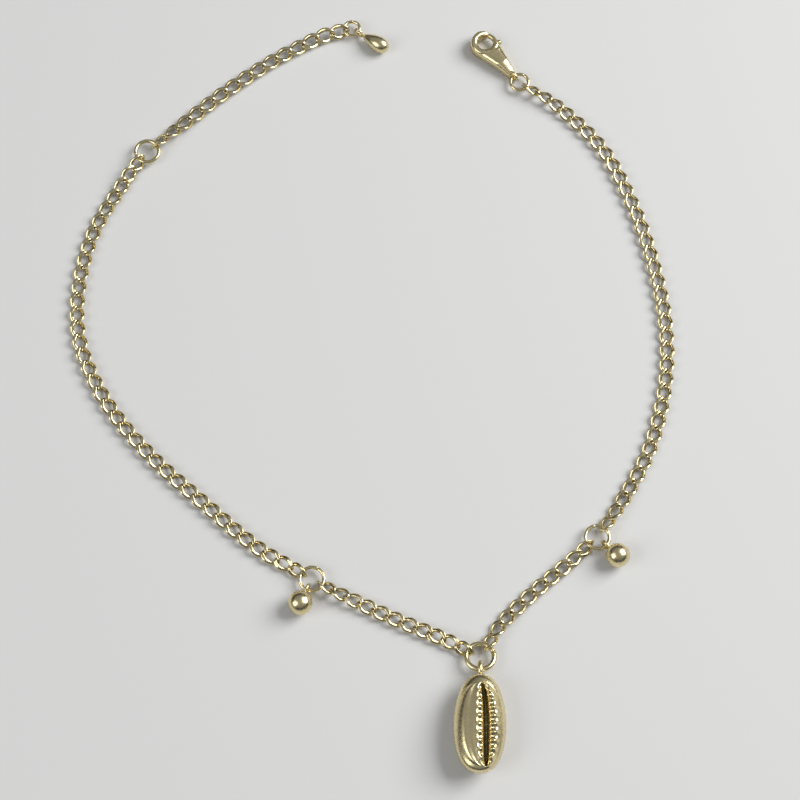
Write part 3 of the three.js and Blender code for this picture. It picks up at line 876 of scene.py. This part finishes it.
arc = around_head(*LEVER_ARC, LEVER_STEPS)
path = np.vstack([arc, np.linspace(arc[-1], PIN, LEVER_TAIL_STEPS)[1:]])
lever = bar(path, np.linspace(*LEVER_WIDTH, len(path)), np.full(len(path), LEVER_THICK))
angle = pole_to_pole(16, first=KNOB_POLE, last=KNOB_POLE)
knob = turned(np.stack([-KNOB_RADIUS * np.cos(angle), KNOB_RADIUS * np.sin(angle)], 1), 24)
surface = Surface()
surface.rod(carry(lever, claw_frame))
surface.rod(carry(knob + KNOB, claw_frame))
surface.piece("gate", "lever", ring_gold, "clasp", "clasp_lever")

# %% The pin
PIN_RADIUS = 0.3
PIN_EDGE = 0.04
PIN_MIDDLE = 0.01
RIVET = [
    (0, PIN_MIDDLE), (0, PIN_RADIUS - 0.05), (PIN_EDGE, PIN_RADIUS),
    (THICK - PIN_EDGE, PIN_RADIUS), (THICK, PIN_RADIUS - PIN_EDGE), (THICK, PIN_RADIUS - 0.1),
    (THICK, PIN_MIDDLE),
]

upright = turned(RIVET, 32)[..., [2, 1, 0]] + [*PIN, 0.0]
surface = Surface()
surface.rod(carry(upright, claw_frame))
surface.piece("pin", "anklet", ring_gold, "clasp", "clasp_pin")

# %% [markdown]
# ## The table
# The anklet lies on a plain surface. A glossy one would be simple too, but it would mirror the
# chain and hide where it touches, so the table is pale and matt.

# %% Floor
FLOOR_TONE = (0.62, 0.62, 0.61, 1)
FLOOR_ROUGHNESS = 0.9
FLOOR_SIZE = 3

bpy.ops.mesh.primitive_plane_add(size=FLOOR_SIZE)
floor = bpy.context.object
floor.name = "floor"
pale = bpy.data.materials.new("floor")
pale.use_nodes = True
pale_shader = pale.node_tree.nodes["Principled BSDF"]
pale_shader.inputs["Base Color"].default_value = FLOOR_TONE
pale_shader.inputs["Roughness"].default_value = FLOOR_ROUGHNESS
floor.data.materials.append(pale)
print("floor", FLOOR_SIZE, "m wide")

# %% [markdown]
# ## The light
# Metal shows what it mirrors, so its look is made by the light. A picture of a studio could be the
# surroundings. Here two large soft lamps give the highlights, and a sky that is dark low down and
# pale above gives every rounded edge a dark and a bright side.


# %% Lamps
def lamp(name, place, size, power):
    """A square soft light that faces the middle of the table."""
    data = bpy.data.lights.new(name, "AREA")
    data.size = size
    data.energy = power
    made = bpy.data.objects.new(name, data)
    bpy.context.scene.collection.objects.link(made)
    made.location = place
    x, y, z = place
    made.rotation_euler = (np.arctan2(np.hypot(x, y), z), 0, np.arctan2(-y, -x) - np.pi / 2)
    print(name, "lamp of", size, "m")


lamp("key", (0.55, 0.2, 0.5), 0.5, 7.0)
lamp("fill", (-0.45, -0.2, 0.4), 0.4, 1.4)

# %% Sky
SKY_STRENGTH = 0.5
SKY = [
    (0.0, (0.03, 0.03, 0.035, 1)),
    (0.3, (0.05, 0.05, 0.055, 1)),
    (0.6, (0.5, 0.51, 0.53, 1)),
    (1.0, (0.62, 0.63, 0.65, 1)),
]


def sky(colours):
    """A plain studio: its brightness changes with the height above the horizon only."""
    world = bpy.data.worlds.new("studio")
    bpy.context.scene.world = world
    world.use_nodes = True
    tree = world.node_tree
    place = tree.nodes.new("ShaderNodeTexCoord")
    split = tree.nodes.new("ShaderNodeSeparateXYZ")
    ramp = tree.nodes.new("ShaderNodeValToRGB")
    tree.links.new(place.outputs["Generated"], split.inputs["Vector"])
    tree.links.new(split.outputs["Z"], ramp.inputs["Fac"])
    tree.links.new(ramp.outputs["Color"], tree.nodes["Background"].inputs["Color"])
    first, last = ramp.color_ramp.elements
    first.position, first.color = colours[0]
    last.position, last.color = colours[-1]
    for position, colour in colours[1:-1]:
        ramp.color_ramp.elements.new(position).color = colour
    tree.nodes["Background"].inputs["Strength"].default_value = SKY_STRENGTH


sky(SKY)
print("sky of", len(SKY), "tones")

# %% [markdown]
# ## The camera
# The photograph looks down at the table steeply, from a short distance. A camera straight above
# would be simpler, but the far side of the loop would then look as large as the near side. So the
# camera leans as that one seems to have done. Its lens is the focal length in pixels, times the
# sensor's width over the picture's width.

# %% Camera
VIEW_TILT = np.radians(70)
VIEW_DISTANCE = 0.3
FOCAL_PIXELS, PICTURE_PIXELS = 2027, 800
SENSOR = 36

camera_data = bpy.data.cameras.new("camera")
camera_data.sensor_width = SENSOR
camera_data.lens = FOCAL_PIXELS / PICTURE_PIXELS * SENSOR
camera = bpy.data.objects.new("camera", camera_data)
bpy.context.scene.collection.objects.link(camera)
aim = np.array([*shift, 0.0]) * MM
camera.location = aim + VIEW_DISTANCE * np.array([0, -np.cos(VIEW_TILT), np.sin(VIEW_TILT)])
camera.rotation_euler = (np.pi / 2 - VIEW_TILT, 0, 0)
bpy.context.scene.camera = camera
bpy.context.scene.view_settings.view_transform = "Standard"
print("lens", round(camera_data.lens, 1), "mm")
